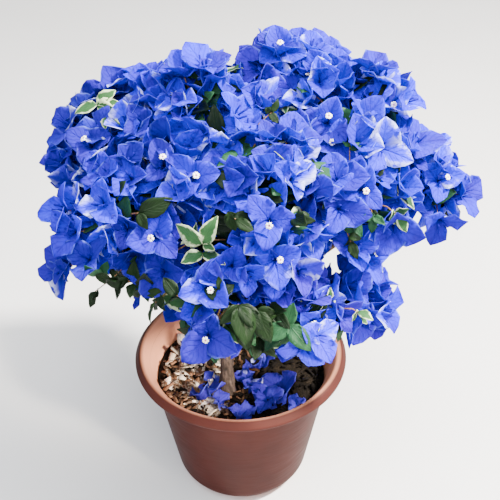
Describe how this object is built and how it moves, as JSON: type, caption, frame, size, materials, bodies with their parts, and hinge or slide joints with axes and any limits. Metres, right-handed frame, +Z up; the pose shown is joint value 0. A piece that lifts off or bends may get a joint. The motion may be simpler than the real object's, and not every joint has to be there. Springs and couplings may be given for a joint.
{
  "type": "potted bougainvillea bush",
  "caption": "Bushy potted bougainvillea with papery blue bracts over green leaves on a short forked trunk, standing in a wide round plastic pot of soil.",
  "frame": {"origin": "centre of the pot's flat underside", "axes": "+Z up along the pot's axis, -Y towards the front that the picture shows, +X to the right of that front"},
  "size_m": [0.5679, 0.4485, 0.6589],
  "materials": {
    "pot": "smooth terracotta-coloured plastic",
    "soil": "loose potting soil with bark chips and dry leaves",
    "bark": "rough grey-brown bark",
    "blossom": "papery blue bracts, green leaves and thin twigs"
  },
  "bodies": {
    "root": {"pot": "pot", "soil": "soil", "trunk": "bark", "bough_left_front": "bark", "bough_right_back": "bark", "bough_back_left": "bark", "bough_front_right": "bark", "bough_top_right": "bark", "bough_top_front": "bark", "bough_top_left": "bark", "bough_left_spray": "bark", "bough_left_back": "bark", "bough_right_spray": "bark", "bough_front_left": "bark", "bough_back_right": "bark", "bough_right_front": "bark", "bough_top_back": "bark", "foliage_front_left": "blossom", "foliage_front_right": "blossom", "foliage_right_front": "blossom", "foliage_right_back": "blossom", "foliage_right_spray": "blossom", "foliage_back_right": "blossom", "foliage_back_left": "blossom", "foliage_left_back": "blossom", "foliage_left_front": "blossom", "foliage_left_spray": "blossom", "foliage_top_front": "blossom", "foliage_top_left": "blossom", "foliage_top_right": "blossom", "foliage_top_back": "blossom", "dropped_blossom_1": "blossom", "dropped_blossom_2": "blossom", "dropped_blossom_3": "blossom", "dropped_blossom_4": "blossom", "dropped_blossom_5": "blossom"}
  },
  "joints": []
}
